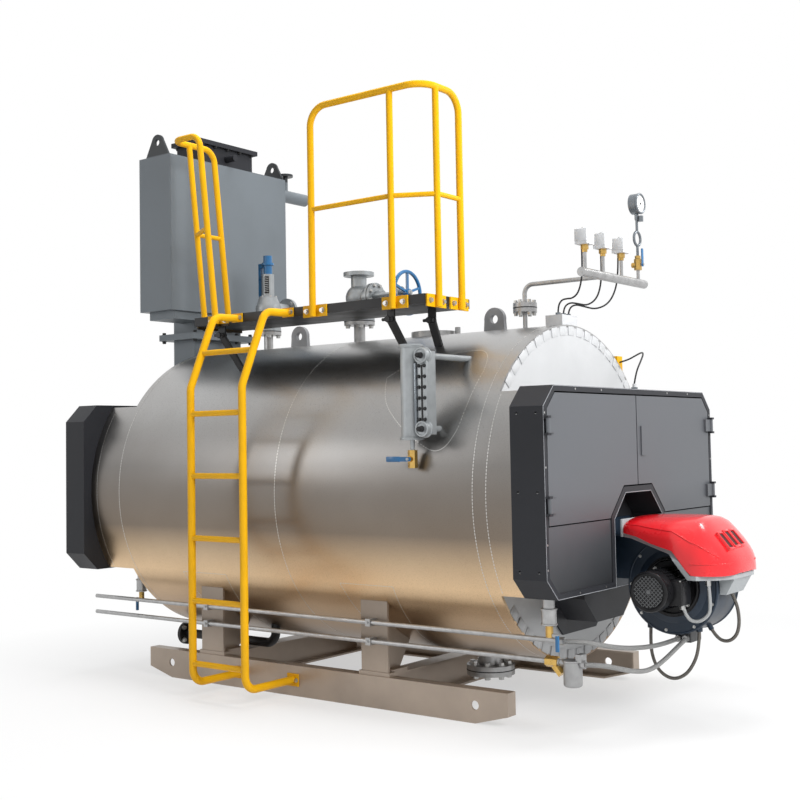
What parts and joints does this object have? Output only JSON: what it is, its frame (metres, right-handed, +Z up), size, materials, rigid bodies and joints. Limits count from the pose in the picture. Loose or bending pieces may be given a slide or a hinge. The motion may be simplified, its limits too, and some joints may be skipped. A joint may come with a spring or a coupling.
{
  "type": "industrial steam boiler",
  "caption": "Horizontal fire-tube steam boiler on a skid with burner, smoke-box doors, economizer, ladder, railed platform and top-mounted valves.",
  "frame": {"origin": "on the floor, under the middle of the front cross beam", "axes": "+X along the boiler towards the burner, -Y the ladder side, +Z up"},
  "size_m": [3.533, 1.8, 2.991],
  "materials": {
    "jacket": "brushed sheet",
    "frame_paint": "satin",
    "smokebox_paint": "satin",
    "door_paint": "satin",
    "disc_sheet": "mill finish",
    "economizer_paint": "satin",
    "yellow_paint": "gloss",
    "black_paint": "satin",
    "burner_paint": "satin",
    "motor_black": "gloss",
    "hood_red": "gloss",
    "trim_grey": "matt",
    "galvanised": "galvanised",
    "cast_silver": "cast",
    "blue_plastic": "gloss",
    "brass": "machined",
    "white_plastic": "matt",
    "gauge_case": "polished",
    "black_rubber": "matt",
    "braid": "woven",
    "conduit": "ribbed",
    "cast_light": "die cast"
  },
  "bodies": {
    "boiler": {"blowdown_pipe": "black_paint", "boiler_shell": "jacket", "burner_casing": "burner_paint", "burner_hood": "hood_red", "burner_mount": "smokebox_paint", "cable_entries": "white_plastic", "conduit_loop": "conduit", "cross_beams": "frame_paint", "drains": "brass", "economizer": "economizer_paint", "fan_motor": "motor_black", "flue_duct": "economizer_paint", "flue_outlet": "economizer_paint", "front_end_plate": "disc_sheet", "front_guard": "yellow_paint", "front_legs": "frame_paint", "front_neck": "jacket", "front_smokebox": "smokebox_paint", "fuel_filter": "cast_light", "fuel_hose_one": "braid", "fuel_hose_two": "braid", "fuel_pipes": "galvanised", "fuel_pump": "cast_light", "hood_conduit": "conduit", "hood_trim": "trim_grey", "junction_box": "yellow_paint", "junction_cable": "black_rubber", "ladder": "yellow_paint", "level_column": "cast_silver", "level_gauge": "galvanised", "lower_panels": "smokebox_paint", "manifold": "galvanised", "motor_conduit": "conduit", "pipe_clamps": "galvanised", "platform": "black_paint", "pressure_gauge": "gauge_case", "pressure_switches": "white_plastic", "rear_cover": "smokebox_paint", "rear_end_plate": "disc_sheet", "rear_guard": "yellow_paint", "rear_legs": "frame_paint", "rear_neck": "jacket", "rear_smokebox": "smokebox_paint", "safety_cap": "blue_plastic", "safety_valve": "cast_silver", "shell_lugs": "frame_paint", "shell_nozzles": "galvanised", "skid_rail_far": "frame_paint", "skid_rail_near": "frame_paint", "steam_valve": "cast_silver", "switch_cable_one": "black_rubber", "switch_cable_three": "black_rubber", "switch_cable_two": "black_rubber"},
    "near_door": {"near_door": "door_paint"},
    "far_door": {"far_door": "door_paint"},
    "steam_handwheel": {"steam_handwheel": "blue_plastic"},
    "drain_lever": {"drain_lever": "blue_plastic"},
    "gauge_cock_lever": {"gauge_cock_lever": "blue_plastic"}
  },
  "joints": [
    {"name": "near_door_hinge", "type": "hinge", "parent": "boiler", "child": "near_door", "pos_m": [1.071, -0.812, 1.1165], "axis": [0, 0, -1], "range_deg": [0, 110]},
    {"name": "far_door_hinge", "type": "hinge", "parent": "boiler", "child": "far_door", "pos_m": [1.071, 0.812, 1.1165], "axis": [0, 0, 1], "range_deg": [0, 110]},
    {"name": "handwheel_turn", "type": "hinge", "parent": "boiler", "child": "steam_handwheel", "pos_m": [-0.225, 0, 1.998], "axis": [1, 0, 0], "continuous": true},
    {"name": "drain_lever_turn", "type": "hinge", "parent": "boiler", "child": "drain_lever", "pos_m": [0.387, -0.836, 1.147], "axis": [0, -1, 0], "range_deg": [0, 90]},
    {"name": "gauge_cock_turn", "type": "hinge", "parent": "boiler", "child": "gauge_cock_lever", "pos_m": [0.9445, 0.345, 2.062], "axis": [-1, 0, 0], "range_deg": [0, 90]}
  ]
}
